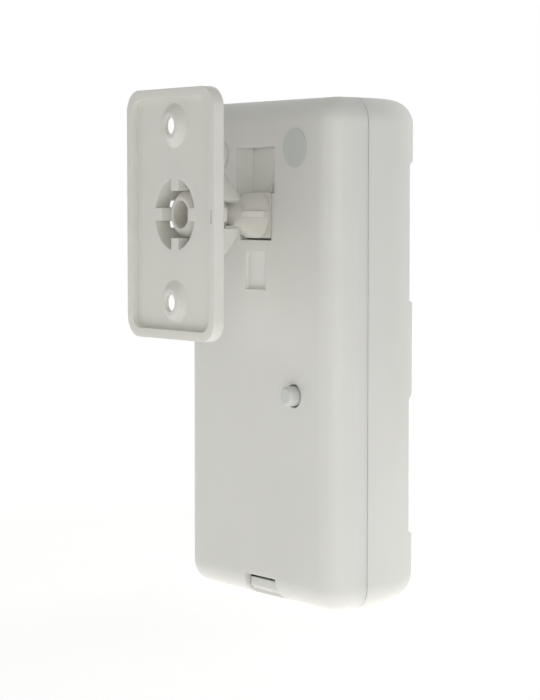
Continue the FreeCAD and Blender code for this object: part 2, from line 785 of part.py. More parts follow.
def make_sensor(label, low, high):
    """A pyroelectric sensor can with its base flange and three leads, and its window pane."""
    z = f"({low} + {high}) / 2"
    can = turned(label + "_shape", [
        ("0", "0"),
        ("can_flange_radius", "0"),
        ("can_flange_radius", "can_flange"),
        ("can_radius", "can_flange"),
        ("can_radius", "can_height"),
        ("0", "can_height"),
    ], ("0", f"-{BOARD_FRONT}", z), FRONT_DIRECTION)
    leads = [
        rod(f"{label}_lead_{name}", (x, f"-{BOARD_FRONT} - can_flange / 2", f"{z} + {dz}"), "lead_radius",
            "lead_length + can_flange / 2", Y_DIRECTION)
        for name, x, dz in LEADS
    ]
    pane = box(label + "_pane", ("-pane_width / 2", "pane_width / 2"),
               (f"-{BOARD_FRONT} - can_height", f"-{BOARD_FRONT} - can_height + pane_thickness"),
               (f"{z} - pane_height / 2", f"{z} + pane_height / 2"))
    seat = box(label + "_pane_seat", ("-pane_width / 2", "pane_width / 2"),
               (f"-{BOARD_FRONT} - can_height", f"-{BOARD_FRONT} - can_height + pane_thickness"),
               (f"{z} - pane_height / 2", f"{z} + pane_height / 2"))
    body = cut(label + "_can", fuse(label + "_blank", can, *leads), seat)
    return to_row(body, label), moved(pane, label + "_window")


def make_tamper():
    """Tamper switch on the back of the board and the plunger that stands out of the case."""
    half = "switch_width / 2"
    body = box("switch_block", (f"tamper_x - {half}", f"tamper_x + {half}"),
               ("-board_back", "-board_back + switch_height"), (f"tamper_z - {half}", f"tamper_z + {half}"))
    bore = rod("switch_bore", ("tamper_x", "-board_back + switch_floor", "tamper_z"), "switch_bore_radius",
               "switch_height", Y_DIRECTION)
    switch = to_row(cut("switch_form", body, bore), "tamper_switch")
    plunger = turned("plunger_shape", [
        ("0", "-tail_end"),
        ("tail_radius", "-tail_end"),
        ("tail_radius", "-wall - collar_gap - collar_thickness"),
        ("collar_radius", "-wall - collar_gap - collar_thickness"),
        ("collar_radius", "-wall - collar_gap"),
        ("button_radius", "-wall - collar_gap"),
        ("button_radius", "button_reach - button_chamfer"),
        ("button_radius - button_chamfer", "button_reach"),
        ("0", "button_reach"),
    ], ("tamper_x", "0", "tamper_z"), Y_DIRECTION)
    return switch, moved(plunger, "tamper_plunger")


SPRING_TURNS = 3


def make_battery():
    """Round cell lying across the board, its cradle and the two contacts."""
    axis_y = f"-{BOARD_FRONT} - holder_floor - cell_radius - cell_gap"
    cell = turned("cell_shape", [
        ("0", "0"),
        ("cell_radius", "0"),
        ("cell_radius", "cell_length"),
        ("cell_nub_radius", "cell_length"),
        ("cell_nub_radius", "cell_length + cell_nub"),
        ("0", "cell_length + cell_nub"),
    ], ("-cell_length / 2", axis_y, "cell_z"), X_DIRECTION)
    left, right = "holder_left", "holder_right"
    low, high = "cell_z - holder_half", "cell_z + holder_half"
    block = box("holder_block", (left, right), (f"{axis_y} - holder_lip", f"-{BOARD_FRONT}"), (low, high))
    room = rod("holder_room", (f"{left} + holder_wall", axis_y, "cell_z"), "cell_radius + cell_gap",
               f"{right} - holder_wall - ({left} + holder_wall)", X_DIRECTION)
    mouth = box("holder_mouth", (f"{left} + holder_wall", f"{right} - holder_wall"),
                (f"{axis_y} - cell_radius - wall", axis_y),
                (f"{low} + holder_wall", f"{high} - holder_wall"))
    holder = cut("holder_form", block, room, mouth)
    pad_y = (f"{axis_y} - contact_width / 2", f"{axis_y} + contact_width / 2")
    pad_z = ("cell_z - contact_width / 2", "cell_z + contact_width / 2")
    plate_x = (f"{right} - holder_wall - contact_thickness", f"{right} - holder_wall")
    base_x = (f"{left} + holder_wall", f"{left} + holder_wall + contact_thickness")
    plate = box("plate_contact_form", plate_x, pad_y, pad_z)
    base = box("spring_base", base_x, pad_y, pad_z)
    spring_x = f"{left} + holder_wall + contact_thickness + spring_start"
    coil = [
        torus(f"spring_turn_{n}", (f"{spring_x} + {n} * spring_wire", axis_y, "cell_z"),
              (f"spring_radius - {n} * spring_taper", "spring_wire / 2 + join"), X_DIRECTION)
        for n in range(SPRING_TURNS)
    ]
    return [
        moved(cell, "battery_cell"),
        to_row(holder, "battery_holder"),
        moved(plate, "plate_contact"),
        to_row(fuse("spring_contact_form", base, *coil), "spring_contact"),
    ]


def make_status_light():
    """Status lamp on the board and the clear rod that brings its light to the front."""
    lamp = turned("led_shape", [
        ("0", "0"),
        ("led_flange_radius", "0"),
        ("led_flange_radius", "led_flange"),
        ("led_radius", "led_flange"),
        ("led_radius", "led_height - led_radius / 2"),
        ("led_radius / 2", "led_height"),
        ("0", "led_height"),
    ], ("light_x", f"-{BOARD_FRONT}", "light_z"), FRONT_DIRECTION)
    inside = f"({CASE_FRONT} - wall - pipe_gap)"
    start = f"({BOARD_FRONT} + led_height + pipe_gap)"
    pipe = turned("pipe_shape", [
        ("0", "0"),
        ("pipe_radius", "0"),
        ("pipe_radius", f"{inside} - {start} - pipe_head"),
        ("pipe_head_radius", f"{inside} - {start} - pipe_head"),
        ("pipe_head_radius", f"{inside} - {start}"),
        ("pipe_radius", f"{inside} - {start}"),
        ("pipe_radius", f"{CASE_FRONT} - {start}"),
        ("0", f"{CASE_FRONT} - {start}"),
    ], ("light_x", f"-{start}", "light_z"), FRONT_DIRECTION)
    return moved(lamp, "status_led"), moved(pipe, "light_pipe")


def make_chip(label, pins):
    """A flat chip with a row of pins along its top and bottom edges."""
    x, z, width, height = (f"{label}_{word}" for word in ("x", "z", "width", "height"))
    front = BOARD_FRONT
    body = box(label + "_body", (f"{x} - {width} / 2", f"{x} + {width} / 2"),
               (f"-{front} - main_chip_thickness", f"-{front}"),
               (f"{z} - {height} / 2", f"{z} + {height} / 2"))
    feet = []
    for n in range(pins):
        middle = f"{x} + ({n} - {(pins - 1) / 2}) * pin_pitch"
        feet.append(box(f"{label}_pin_{n}", (f"{middle} - pin_width / 2", f"{middle} + pin_width / 2"),
                        (f"-{front} - pin_width / 2", f"-{front}"),
                        (f"{z} - {height} / 2 - pin_reach", f"{z} + {height} / 2 + pin_reach")))
    return to_row(fuse(label + "_form", body, *feet), label)


def make_small_parts():
    """Resonator can, crystal, capacitors, mode pins and their jumper."""
    front = BOARD_FRONT
    resonator = turned("resonator_shape", [
        ("0", "0"),
        ("resonator_radius", "0"),
        ("resonator_radius", "can_flange"),
        ("resonator_radius - can_flange / 2", "can_flange"),
        ("resonator_radius - can_flange / 2", "resonator_height"),
        ("0", "resonator_height"),
    ], ("resonator_x", f"-{front}", "resonator_z"), FRONT_DIRECTION)
    crystal = box("crystal_middle", ("crystal_x - crystal_width / 2 + crystal_depth / 2",
                                     "crystal_x + crystal_width / 2 - crystal_depth / 2"),
                  (f"-{front} - crystal_height", f"-{front}"),
                  ("crystal_z - crystal_depth / 2", "crystal_z + crystal_depth / 2"))
    ends = [
        rod(f"crystal_end_{side}", (middle, f"-{front}", "crystal_z"), "crystal_depth / 2", "crystal_height",
            FRONT_DIRECTION)
        for side, middle in (("left", "crystal_x - (crystal_width - crystal_depth) / 2"),
                             ("right", "crystal_x + (crystal_width - crystal_depth) / 2"))
    ]
    cans = [
        rod(f"capacitor_{n}", ("capacitor_x", f"-{front}", f"capacitor_low + {n} * capacitor_pitch"),
            "capacitor_radius", "capacitor_height", FRONT_DIRECTION)
        for n in range(2)
    ]
    return [
        moved(resonator, "radio_resonator"),
        to_row(fuse("crystal_form", crystal, *ends), "crystal"),
        to_row(group("capacitor_set", *cans), "capacitors"),
    ]


def make_mode_pins():
    """Three mode pins in their strip, with the push-on jumper over two of them."""
    front = BOARD_FRONT
    strip = box("strip", ("header_x - header_width / 2", "header_x + header_width / 2"),
                (f"-{front} - header_depth", f"-{front}"),
                ("header_z - header_height / 2", "header_z + header_height / 2"))
    tip = f"-{front} - header_depth - header_pin_length"
    pins = []
    bores = []
    for n in range(3):
        middle = f"header_x + ({n} - 1) * header_pitch"
        across = (f"{middle} - header_pin / 2", f"{middle} + header_pin / 2")
        up = ("header_z - header_pin / 2", "header_z + header_pin / 2")
        pins.append(box(f"mode_pin_{n}", across, (tip, f"-{front} - header_depth / 2"), up))
        if n:
            wide = (f"{across[0]} - jumper_gap", f"{across[1]} + jumper_gap")
            tall = (f"{up[0]} - jumper_gap", f"{up[1]} + jumper_gap")
            bores.append(box(f"jumper_bore_{n}", wide, (f"{tip} - jumper_gap", f"-{front} - header_depth"), tall))
    middle = "header_x + header_pitch / 2"
    cap = box("jumper_block", (f"{middle} - jumper_width / 2", f"{middle} + jumper_width / 2"),
              (f"{tip} - header_pin", f"-{front} - header_depth - jumper_gap"),
              ("header_z - header_height / 2", "header_z + header_height / 2"))
    whole = fuse("pins_form", strip, *pins)
    return to_row(whole, "mode_pins"), to_row(cut("jumper_form", cap, *bores), "mode_jumper")


def make_aerial():
    """Aerial wire that leaves the board near the top, runs down its side and returns."""
    radius = SIZES["aerial_bend"]
    front = -SIZES["board_back"] - SIZES["board_thickness"]
    away = front - SIZES["aerial_height"]
    x, low = measure("aerial_x"), measure("aerial_low")
    high = measure("case_height") - measure("aerial_drop")
    point = FreeCAD.Vector
    slant = radius * (1 - 0.5 ** 0.5)
    edges = [
        Part.LineSegment(point(x, front, high), point(x, away + radius, high)),
        Part.Arc(point(x, away + radius, high), point(x, away + slant, high - slant),
                 point(x, away, high - radius)),
        Part.LineSegment(point(x, away, high - radius), point(x, away, low + radius)),
        Part.Arc(point(x, away, low + radius), point(x, away + slant, low + slant),
                 point(x, away + radius, low)),
        Part.LineSegment(point(x, away + radius, low), point(x, front, low)),
    ]
    path = Part.Wire([edge.toShape() for edge in edges])
    ring = Part.Wire([Part.Circle(point(x, front, high), point(0, -1, 0), SIZES["aerial_radius"]).toShape()])
    wire = doc.addObject("Part::Feature", "aerial_wire")
    wire.Shape = path.makePipeShell([ring], True, False)
    return to_row(wire, "aerial_wire")


def make_label():
    """The round label beside the socket, left bare."""
    disc = rod("label_disc", ("label_x", "label_thickness", "label_z"), "label_radius", "label_thickness",
               FRONT_DIRECTION)
    return moved(disc, "round_label")


def make_wall_plate():
    """Tray-shaped wall plate with its screw holes, ball socket dome and spring fingers."""
    body = open_body("plate_body")
    outline = sketch_on(body, "XZ_Plane", "plate_outline")
    half_x, half_z = "plate_width / 2", "plate_height / 2"
    polygon(outline, [
        (f"-{half_x}", f"-{half_z}"),
        (half_x, f"-{half_z}"),
        (half_x, half_z),
        (f"-{half_x}", half_z),
    ])
    slab_feature = pad(body, outline, "plate_thickness", "plate_slab")
    corners = round_edges(body, slab_feature, along_y, "plate_corner", "plate_corners")
    tray = sketch_on(body, "XZ_Plane", "tray_outline")
    polygon(tray, [
        (f"-{half_x} + plate_rim", f"-{half_z} + plate_rim"),
        (f"{half_x} - plate_rim", f"-{half_z} + plate_rim"),
        (f"{half_x} - plate_rim", f"{half_z} - plate_rim"),
        (f"-{half_x} + plate_rim", f"{half_z} - plate_rim"),
    ])
    sunk = pocket(body, tray, "tray_depth", "tray_pocket", backwards=True)
    inner = round_edges(body, sunk, tray_edge, "tray_corner", "tray_corners")
    edges = round_edges(body, inner, on_outside, "plate_edge_round", "plate_edges")
    body.Tip = edges
    pivot = ("0", "-pivot_depth", "0")
    dome_room = ("-2 * dome_radius", "2 * dome_radius")
    cap = common("dome_cap", ball("dome_ball", ("0", "-dome_centre", "0"), "dome_radius"),
                 box("dome_side", dome_room, ("-2 * dome_radius", "-plate_thickness + tray_depth / 2"), dome_room))
    pads = [
        cone(f"screw_pad_{side}", ("0", "-tray_depth", f"{sign}screw_spacing / 2"),
             ("screw_pad_radius", "screw_pad_top_radius"), "tray_depth", Y_DIRECTION)
        for side, sign in (("low", "-"), ("high", ""))
    ]
    holes = [
        rod(f"wall_screw_hole_{side}", ("0", "wall", f"{sign}screw_spacing / 2"), "wall_screw_radius",
            "2 * plate_thickness", FRONT_DIRECTION)
        for side, sign in (("low", "-"), ("high", ""))
    ]
    sinks = [
        cone(f"countersink_{side}", ("0", "-plate_thickness", f"{sign}screw_spacing / 2"),
             ("countersink_radius", "wall_screw_radius"), "countersink_depth", Y_DIRECTION)
        for side, sign in (("low", "-"), ("high", ""))
    ]
    seat = ball("ball_seat", pivot, "ball_radius + ball_clearance")
    mouth = rod("ball_mouth", ("0", "0", "0"), "mouth_radius", "pivot_depth + seat_depth", FRONT_DIRECTION)
    beyond = "2 * dome_radius"
    half_slot = "neck_radius + neck_clearance"
    slot_start = "-dome_centre - neck_slot_start"
    neck_slot = box("neck_slot", (f"-{beyond}", beyond), (f"-dome_centre - {beyond}", slot_start),
                    (f"-({half_slot})", half_slot))
    slits = [
        box(f"tongue_slit_{name}", (f"-{beyond}", beyond),
            (f"{slot_start} - tongue_slit", "-plate_thickness - tongue_root"), span)
        for name, span in (
            ("above", ("tongue_width / 2", half_slot)),
            ("below", (f"-({half_slot})", "-tongue_width / 2")),
        )
    ]
    mark = box("rim_mark", ("-rim_mark_x - rim_mark_width / 2", "-rim_mark_x + rim_mark_width / 2"),
               ("-rim_mark_depth", "wall"), ("rim_mark_low", "rim_mark_high"))
    shell = cut("plate_shell", fuse("plate_and_dome", body, cap, *pads), seat, mouth, neck_slot, *slits,
                *holes, *sinks, mark)
    floor = ("-tray_depth - finger_thickness", "-tray_depth")
    side = ("-finger_width / 2", "finger_width / 2")
    fingers = [
        box("finger_left", ("-finger_root", "-finger_reach"), floor, side),
        box("finger_right", ("finger_reach", "finger_root"), floor, side),
        box("finger_low", side, floor, ("-finger_root", "-finger_reach")),
        box("finger_high", side, floor, ("finger_reach", "finger_root")),
    ]
    plate = fuse("plate_form", shell, *fingers)
    plate.Label = "wall_plate"
    return plate


def along_y(edge):
    """Whether an edge runs from the wall outwards."""
    start, end = edge.Vertexes[0].Point, edge.Vertexes[-1].Point
    return abs(start.x - end.x) + abs(start.z - end.z) < TOLERANCE < abs(start.y - end.y)


def tray_edge(edge):
    """Whether an edge is one of the upright corners inside the wall plate's rim."""
    middle = edge.CenterOfMass
    narrow = abs(middle.x) < SIZES["plate_width"] / 2 - SIZES["plate_rim"] / 2
    return along_y(edge) and narrow and abs(middle.z) > SIZES["screw_spacing"] / 2


def on_outside(edge):
    """Whether an edge runs round the plate's outward face."""
    box_of = edge.BoundBox
    wide = max(abs(box_of.XMin), abs(box_of.XMax)) > SIZES["plate_width"] / 2 - SIZES["tray_depth"] / 2
    tall = max(abs(box_of.ZMin), abs(box_of.ZMax)) > SIZES["plate_height"] / 2 - SIZES["tray_depth"] / 2
    return (wide or tall) and box_of.YMax < -SIZES["plate_thickness"] + TOLERANCE


def make_ball_arm():
    """Hollow ball, neck and the flanged head that slides into the case's socket."""
    back = "-standoff"
    sphere = ball("arm_ball", ("0", "-pivot_depth", "0"), "ball_radius")
    around = ("-2 * ball_radius", "2 * ball_radius")
    flat = box("ball_flat_side", around, ("-pivot_depth + ball_flat", "ball_radius"), around)
    trimmed = cut("ball_trimmed", sphere, flat)
    neck = rod("arm_neck", ("0", "-pivot_depth", "0"), "neck_radius", "standoff - pivot_depth",
               FRONT_DIRECTION)
    low = "slot_low + head_low_gap - plate_above_case"
    high = f"{low} + head_height"
    flare_cone = cone("flare_cone", ("0", f"{back} + head_proud + flare_length", "0"),
                      ("neck_radius", "flare_radius"), "flare_length", FRONT_DIRECTION)
    flare = common("arm_flare", flare_cone, box("flare_limit", ("-head_width / 2", "head_width / 2"),
                                                (back, "0"), (low, high)))
    boss_body = open_body("head_body")
    outline = sketch_on(boss_body, "XZ_Plane", "head_outline", "standoff - head_proud")
    half = "head_width / 2"
    polygon(outline, [
        (f"-{half} + head_corner", low),
        (f"{half} - head_chamfer_across", low),
        (half, f"{low} + head_chamfer_up"),
        (half, f"{high} - head_chamfer_up"),
        (f"{half} - head_chamfer_across", high),
        (f"-{half} + head_corner", high),
        (f"-{half}", f"{high} - head_corner"),
        (f"-{half}", f"{low} + head_corner"),
    ])
    pad(boss_body, outline, "head_proud + slot_lip + head_flange_gap + head_corner", "head_boss")
    flange = box("arm_flange", ("-head_flange_width / 2", "head_flange_width / 2"),
                 (f"{back} - slot_depth + head_back_gap", f"{back} - slot_lip - head_flange_gap"),
                 (low, f"{low} + head_flange_height"))
    webs = open_body("gusset_body")
    web_sketch = sketch_on(webs, "XY_Plane", "gusset_outline", "-gusset_thickness / 2")
    polygon(web_sketch, [
        ("-head_width / 2 + head_corner", f"{back}"),
        ("head_width / 2 - head_corner", f"{back}"),
        ("head_width / 2 - head_corner", f"{back} + head_proud + gusset_end"),
        ("neck_radius", f"{back} + head_proud + gusset_length"),
        ("-neck_radius", f"{back} + head_proud + gusset_length"),
        ("-head_width / 2 + head_corner", f"{back} + head_proud + gusset_end"),
    ])
    pad(webs, web_sketch, "gusset_thickness", "gusset_webs")
    bore = rod("ball_bore", ("0", "-pivot_depth + ball_radius", "0"), "ball_bore_radius", "ball_bore_depth",
               FRONT_DIRECTION)
    blank_arm = fuse("arm_blank", trimmed, neck, flare, boss_body, flange, webs)
    arm = cut("arm_form", blank_arm, bore)
    arm.Label = "ball_arm"
    return arm


def check_and_write(nodes):
    """Stop on any failed object or bad shape, then write one STEP file for each piece."""
    doc.recompute()
    for thing in doc.Objects:
        if "Invalid" in thing.State or "Error" in thing.State:
            raise RuntimeError(f"{thing.Name} failed: {thing.State}")
    for node in nodes:
        if node.Shape.isNull() or not node.Shape.isValid() or not node.Shape.Solids:
            raise RuntimeError(f"{node.Label} has no valid solid")
    os.makedirs(PARTS_FOLDER, exist_ok=True)
    for node in nodes:
        node.Shape.exportStep(f"{PARTS_FOLDER}/{node.Label}.step")
        print(f"{node.Label}: {len(node.Shape.Solids)} solid(s), {node.Shape.Volume:.1f} mm3")


def build():
    """Make every piece and write it."""
    fill_sheet()
    outer = blank("outer_form", "0")
    inner = blank("inner_form", "wall")
    lip_form = blank("lip_form", "lip_inset")
    rebate_form = blank("rebate_form", "lip_inset - lip_clearance")
    latch_form = blank("latch_form", "latch_inset")
    nodes = [
        make_wall_plate(),
        make_ball_arm(),
        make_rear_case(outer, inner, rebate_form),
        make_front_cover(outer, inner, lip_form, latch_form),
        make_lens("upper_lens", "upper_window_low", "upper_window_high"),
        make_lens("lower_lens", "lower_window_low", "lower_window_high"),
        make_lens_frame("upper_lens_frame", "upper_window_low", "upper_window_high"),
        make_lens_frame("lower_lens_frame", "lower_window_low", "lower_window_high"),
        make_board(),
        make_board_screws(),
        *make_sensor("upper_sensor", "upper_window_low", "upper_window_high"),
        *make_sensor("lower_sensor", "lower_window_low", "lower_window_high"),
        *make_tamper(),
        *make_battery(),
        *make_status_light(),
        make_chip("main_chip", MAIN_CHIP_PINS),
        make_chip("radio_chip", RADIO_CHIP_PINS),
        *make_small_parts(),
        *make_mode_pins(),
        make_aerial(),
        make_label(),
    ]
    check_and_write(nodes)


build()
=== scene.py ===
# %% [markdown]
# A motion detector on its wall bracket
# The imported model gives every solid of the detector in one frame, in metres.
# The wall plane is y = 0 and the detector looks along -Y.
# We load it first and note its box, because nothing we add may reach outside it.

# %% Load the frame
import math

import bmesh
import bpy
from mathutils import Matrix, Vector
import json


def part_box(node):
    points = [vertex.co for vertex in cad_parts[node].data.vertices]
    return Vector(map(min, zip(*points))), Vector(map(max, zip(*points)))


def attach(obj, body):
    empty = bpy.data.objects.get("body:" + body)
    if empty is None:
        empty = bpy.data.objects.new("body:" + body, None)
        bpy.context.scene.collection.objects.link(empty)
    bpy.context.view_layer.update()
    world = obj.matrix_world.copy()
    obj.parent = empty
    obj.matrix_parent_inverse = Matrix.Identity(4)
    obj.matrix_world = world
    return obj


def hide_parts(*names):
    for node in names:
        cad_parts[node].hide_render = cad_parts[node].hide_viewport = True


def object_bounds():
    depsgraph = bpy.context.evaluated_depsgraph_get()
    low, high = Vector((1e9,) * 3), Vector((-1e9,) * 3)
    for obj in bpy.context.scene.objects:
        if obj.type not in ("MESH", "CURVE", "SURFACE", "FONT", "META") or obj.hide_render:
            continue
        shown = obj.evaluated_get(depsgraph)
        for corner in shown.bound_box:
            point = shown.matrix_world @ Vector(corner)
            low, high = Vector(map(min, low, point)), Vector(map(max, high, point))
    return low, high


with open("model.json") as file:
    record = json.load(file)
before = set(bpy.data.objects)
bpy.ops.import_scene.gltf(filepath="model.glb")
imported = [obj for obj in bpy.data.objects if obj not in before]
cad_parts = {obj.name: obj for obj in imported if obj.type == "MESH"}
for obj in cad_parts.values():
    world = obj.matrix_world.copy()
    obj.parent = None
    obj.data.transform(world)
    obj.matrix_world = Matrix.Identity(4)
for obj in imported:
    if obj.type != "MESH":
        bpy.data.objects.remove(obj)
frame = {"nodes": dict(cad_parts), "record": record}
cad_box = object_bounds()
nodes = frame["nodes"]
MM = 0.001
print("solids from the model:", len(nodes))

# %% [markdown]
# Helpers for nodes
# A finish could be painted as a picture and wrapped round each solid.
# Shader nodes work out the colour and the bump from a point's place instead,
# so one finish fits every shape without any wrapping.
# Four small helpers keep the later cells short.


# %% Helpers for nodes
def blank_tree(owner):
    """The empty node tree of a material or of the world."""
    owner.use_nodes = True
    owner.node_tree.nodes.clear()
    return owner.node_tree


def add_node(tree, kind, **settings):
    """One shader node, with its plain properties and its inputs set by name."""
    node = tree.nodes.new(kind)
    for name, value in settings.items():
        if hasattr(node, name):
            setattr(node, name, value)
        else:
            node.inputs[name.replace("_", " ")].default_value = value
    return node


def join(tree, source, output, target, socket):
    """Wire one node's output to another node's input."""
    tree.links.new(source.outputs[output], target.inputs[socket])


def new_finish(name, **settings):
    """A material whose Principled shader has the given settings, with its tree and shader."""
    material = bpy.data.materials.new(name)
    tree = blank_tree(material)
    output = add_node(tree, "ShaderNodeOutputMaterial")
    shader = add_node(tree, "ShaderNodeBsdfPrincipled", **settings)
    join(tree, shader, "BSDF", output, "Surface")
    return material, tree, shader


print("helpers:", [helper.__name__ for helper in (blank_tree, add_node, join, new_finish)])

# %% [markdown]
# A colour that drifts
# One flat colour would make the plastic look like paper.
# Real mouldings vary by a percent or two from place to place,
# so a soft noise moves the colour up and down by that share.

# %% A colour that drifts
DRIFT_START, DRIFT_END = 0.3, 0.7


def drift(tree, shader, colour, share, patch):
    """Let the colour wander by a share of itself over patches of the given size in metres."""
    place = add_node(tree, "ShaderNodeTexCoord")
    cloud = add_node(tree, "ShaderNodeTexNoise", Scale=1 / patch, Detail=3.0, Roughness=0.6)
    ramp = add_node(tree, "ShaderNodeValToRGB")
    low, high = ramp.color_ramp.elements
    low.position, high.position = DRIFT_START, DRIFT_END
    low.color = [channel * (1 - share) for channel in colour] + [1]
    high.color = [min(1, channel * (1 + share)) for channel in colour] + [1]
    join(tree, place, "Object", cloud, "Vector")
    join(tree, cloud, "Fac", ramp, "Fac")
    join(tree, ramp, "Color", shader, "Base Color")
    return place


print("the colour drifts between the noise values", DRIFT_START, "and", DRIFT_END)

# %% [markdown]
# Grain and soft edges
# The mould's spark-eroded wall leaves a very fine grain, far too small to model.
# A bump node tilts the light on each grain instead.
# The Bevel node rounds sharp edges in what the light sees, and leaves the solid as it is.

# %% Grain and soft edges
EDGE_SAMPLES = 6


def grain(tree, shader, place, size, depth, edge=0):
    """Fine bump of the given grain size and depth in metres, on softened edges if asked."""
    speck = add_node(tree, "ShaderNodeTexNoise", Scale=1 / size, Detail=2.0, Roughness=0.5)
    bump = add_node(tree, "ShaderNodeBump", Strength=1.0, Distance=depth)
    join(tree, place, "Object", speck, "Vector")
    join(tree, speck, "Fac", bump, "Height")
    if edge:
        soft = add_node(tree, "ShaderNodeBevel", samples=EDGE_SAMPLES, Radius=edge)
        join(tree, soft, "Normal", bump, "Normal")
    join(tree, bump, "Normal", shader, "Normal")


print("bevel samples:", EDGE_SAMPLES)

# %% [markdown]
# Moulded plastic
# The case, the bracket and the button are all pressed from plastic, in slightly different whites.
# One recipe takes the colour, the shine and the edge, so each piece gets its own version.
# The bracket's plastic is a little yellower than the case's, and the button's a little greener.

# %% Moulded plastic
PLASTIC_BEND = 1.5
PLASTIC_PATCH = 30 * MM
GRAIN_DEPTH = 0.006 * MM


def moulded(name, colour, roughness, edge=0.2 * MM, grain_size=0.4 * MM):
    """A moulded plastic with a drifting colour and a fine skin."""
    material, tree, shader = new_finish(name, Roughness=roughness, IOR=PLASTIC_BEND)
    place = drift(tree, shader, colour, 0.02, PLASTIC_PATCH)
    grain(tree, shader, place, grain_size, GRAIN_DEPTH, edge)
    return material


case_white = moulded("case_white_plastic", (0.76, 0.755, 0.715), 0.45, edge=0.25 * MM)
bracket_white = moulded("bracket_white_plastic", (0.745, 0.735, 0.68), 0.4, edge=0.3 * MM)
button_white = moulded("button_white_plastic", (0.64, 0.655, 0.63), 0.3)
arm_white = moulded("arm_white_plastic", (0.655, 0.64, 0.585), 0.4, edge=0.3 * MM)
frame_grey = moulded("lens_frame_plastic", (0.5, 0.5, 0.48), 0.5)
black_moulding = moulded("black_moulding", (0.02, 0.02, 0.021), 0.5, edge=0.1 * MM)
print("plastics:", [m.name for m in (case_white, bracket_white, button_white, arm_white)])

# %% [markdown]
# Painted light in the pockets
# The sockets in the back lie in shade, so their walls are painted paler than the skin: painted light.
# A second material would need the solid's faces to be sorted by hand.
# Comparing each point's place with a box does it inside the one material.

# %% Painted light in the pockets
# Painted light: the paler colour that stands in for light in the shaded sockets.
POCKET_PAINTED_LIGHT = (0.87, 0.865, 0.82, 1)
POCKET_HALF_WIDTH = 7.5 * MM
POCKET_LOW, POCKET_HIGH = -18 * MM, 15.5 * MM
POCKET_START, POCKET_END = 0.3 * MM, 6.3 * MM


def shader_of(material):
    """The Principled shader of a material."""
    return next(node for node in material.node_tree.nodes if node.type == "BSDF_PRINCIPLED")


def within(tree, split, axis, low, high):
    """One where a coordinate lies between two values, and zero elsewhere."""
    near = add_node(tree, "ShaderNodeMath", operation="COMPARE")
    near.inputs[1].default_value = (low + high) / 2
    near.inputs[2].default_value = (high - low) / 2
    join(tree, split, axis, near, 0)
    return near


def within_box(tree, ranges):
    """One inside a box given as a range for each axis, and zero outside it."""
    place = add_node(tree, "ShaderNodeTexCoord")
    split = add_node(tree, "ShaderNodeSeparateXYZ")
    join(tree, place, "Object", split, "Vector")
    inside, *others = [within(tree, split, axis, *ends) for axis, ends in ranges.items()]
    for other in others:
        both = add_node(tree, "ShaderNodeMath", operation="MULTIPLY")
        join(tree, inside, 0, both, 0)
        join(tree, other, 0, both, 1)
        inside = both
    return inside


def paint_pocket_light(material, back):
    """Painted light: a paler colour inside the shaded sockets, which start at the back of the case.
    """
    tree = material.node_tree
    shader = shader_of(material)
    skin = shader.inputs["Base Color"].links[0].from_socket
    inside = within_box(tree, {
        "X": (-POCKET_HALF_WIDTH, POCKET_HALF_WIDTH),
        "Y": (back - POCKET_END, back - POCKET_START),
        "Z": (POCKET_LOW, POCKET_HIGH),
    })
    mix = add_node(tree, "ShaderNodeMix", data_type="RGBA")
    outer, inner = [socket for socket in mix.inputs if socket.type == "RGBA"]
    inner.default_value = POCKET_PAINTED_LIGHT
    tree.links.new(skin, outer)
    join(tree, inside, 0, mix, 0)
    blend = next(socket for socket in mix.outputs if socket.type == "RGBA")
    tree.links.new(blend, shader.inputs["Base Color"])


case_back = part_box("rear_case")[1][1]
# Paint light into the shaded pockets of the case.
paint_pocket_light(case_white, case_back)
print("pockets start at y =", round(case_back, 4))

# %% [markdown]
# Light under the skin
# White plastic isn't quite opaque: light goes in, wanders a few millimetres and comes out again,
# which fills small grooves with a soft glow.
# Subsurface scattering does this, and blue light goes a little less deep than red.

# %% Light under the skin
BLUE_SHARE = 0.9


def translucent(material, weight, reach, scale=1.0):
    """Let light wander under the surface, by up to the given reach in metres."""
    shader = shader_of(material)
    shader.inputs["Subsurface Weight"].default_value = weight
    shader.inputs["Subsurface Radius"].default_value = (reach, reach, reach * BLUE_SHARE)
    shader.inputs["Subsurface Scale"].default_value = scale


for pale in (case_white, bracket_white, button_white, arm_white):
    translucent(pale, weight=0.35, reach=3 * MM)
print("translucent plastics: 4")

# %% [markdown]
# Milky lens film
# The windows are thin polythene, milky so that heat passes and sight doesn't.
# Its glow is weaker than the plastic's, because the sheet is thin, and its sheen is waxy.


# %% Milky lens film
def lens_film():
    """Milky film with a waxy sheen."""
    material, tree, shader = new_finish("milky_lens_film", Roughness=0.34, IOR=1.51)
    place = drift(tree, shader, (0.72, 0.725, 0.7), 0.015, 20 * MM)
    grain(tree, shader, place, 0.7 * MM, 0.004 * MM)
    translucent(material, weight=0.25, reach=2 * MM, scale=0.5)
    return material


milky = lens_film()
print("film:", milky.name)

# %% [markdown]
# Metal
# The sensor cans, the contacts and the leads are inside the case and hidden while it is shut.
# They get their true finishes all the same, so that the detector can be shown open.
# A metal has no colour of its own under the shine, so Metallic is one and the colour tints the shine.


# %% Metal
def metal(name, colour, roughness):
    """Plated or tinned metal with faint handling marks."""
    material, tree, shader = new_finish(name, Metallic=1.0, Roughness=roughness)
    place = drift(tree, shader, colour, 0.06, 4 * MM)
    grain(tree, shader, place, 0.2 * MM, 0.002 * MM)
    return material


tinned = metal("tinned_metal", (0.6, 0.6, 0.58), 0.35)
nickel = metal("nickel_contact", (0.68, 0.67, 0.64), 0.22)
enamelled_wire = metal("enamelled_copper", (0.55, 0.26, 0.12), 0.3)
print("metals:", [m.name for m in (tinned, nickel, enamelled_wire)])

# %% [markdown]
# Circuit board
# Under the green mask the copper tracks stand a few hundredths of a millimetre high.
# A brick pattern gives straight tracks with gaps, and the same pattern drives colour and bump.
# The pattern lies in the XY plane, so a Mapping node turns it onto the upright board.

